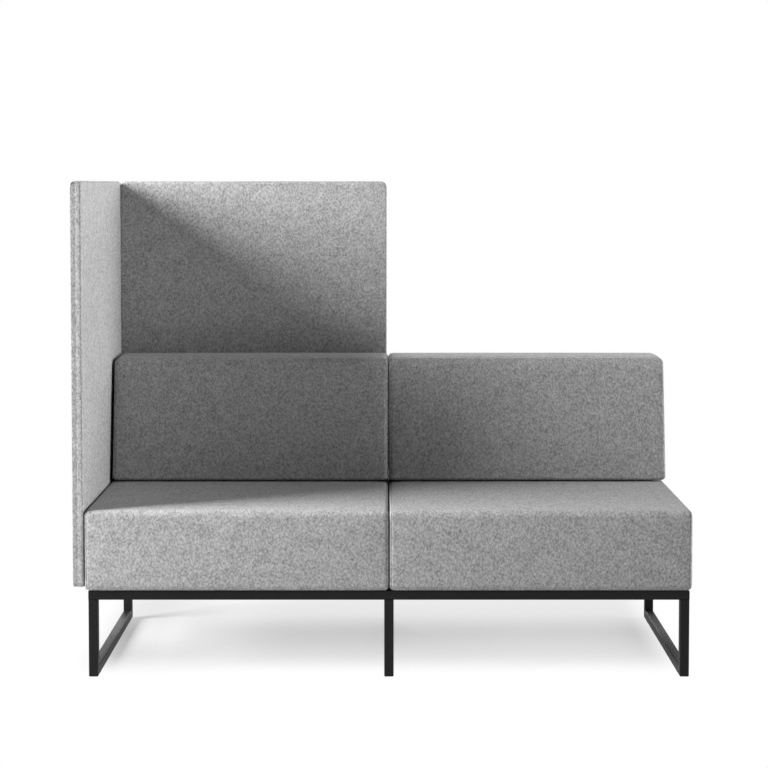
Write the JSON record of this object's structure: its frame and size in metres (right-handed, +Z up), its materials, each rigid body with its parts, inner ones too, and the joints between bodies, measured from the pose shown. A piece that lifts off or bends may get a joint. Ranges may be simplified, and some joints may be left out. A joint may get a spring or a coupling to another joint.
{
  "type": "modular sofa",
  "caption": "Upholstered bench sofa of square seat modules with wedge backrests on a black square-tube sled frame, with a high padded corner screen at one end.",
  "frame": {"origin": "on the floor, under the centre of the overall outline", "axes": "+Z up, +Y towards the back of the sofa, so the front faces -Y; +X to the right as seen from the front, away from the side panel"},
  "size_m": [1.6294, 0.8, 1.31],
  "materials": {
    "felt": "matte",
    "foam": "matte",
    "plywood": "matte",
    "dust_cloth": "matte",
    "black_steel": "matte",
    "fastener_steel": "satin",
    "glide_plastic": "matte"
  },
  "bodies": {
    "sofa": {"back_bolts": "fastener_steel", "back_panel_core": "plywood", "back_panel_cover": "felt", "back_panel_pad": "foam", "back_tee_nuts": "fastener_steel", "centre_cross_rail": "black_steel", "centre_runner": "black_steel", "corner_connectors": "fastener_steel", "front_centre_glide": "glide_plastic", "front_centre_leg": "black_steel", "front_left_glide": "glide_plastic", "front_left_leg": "black_steel", "front_rail": "black_steel", "front_right_glide": "glide_plastic", "front_right_leg": "black_steel", "front_side_tab": "black_steel", "left_back_board": "plywood", "left_back_cover": "felt", "left_back_foam": "foam", "left_inner_back_bracket": "black_steel", "left_outer_back_bracket": "black_steel", "left_runner": "black_steel", "left_seat_board": "plywood", "left_seat_cover": "felt", "left_seat_dust_cloth": "dust_cloth", "left_seat_foam": "foam", "left_side_rail": "black_steel", "panel_bolts": "fastener_steel", "panel_inserts": "fastener_steel", "rear_centre_glide": "glide_plastic", "rear_centre_leg": "black_steel", "rear_left_glide": "glide_plastic", "rear_left_leg": "black_steel", "rear_rail": "black_steel", "rear_right_glide": "glide_plastic", "rear_right_leg": "black_steel", "rear_side_tab": "black_steel", "right_back_board": "plywood", "right_back_cover": "felt", "right_back_foam": "foam", "right_inner_back_bracket": "black_steel", "right_outer_back_bracket": "black_steel", "right_runner": "black_steel", "right_seat_board": "plywood", "right_seat_cover": "felt", "right_seat_dust_cloth": "dust_cloth", "right_seat_foam": "foam", "right_side_rail": "black_steel", "seat_bolts": "fastener_steel", "seat_lugs": "black_steel", "seat_tee_nuts": "fastener_steel", "side_panel_core": "plywood", "side_panel_cover": "felt", "side_panel_pad": "foam"}
  },
  "joints": []
}
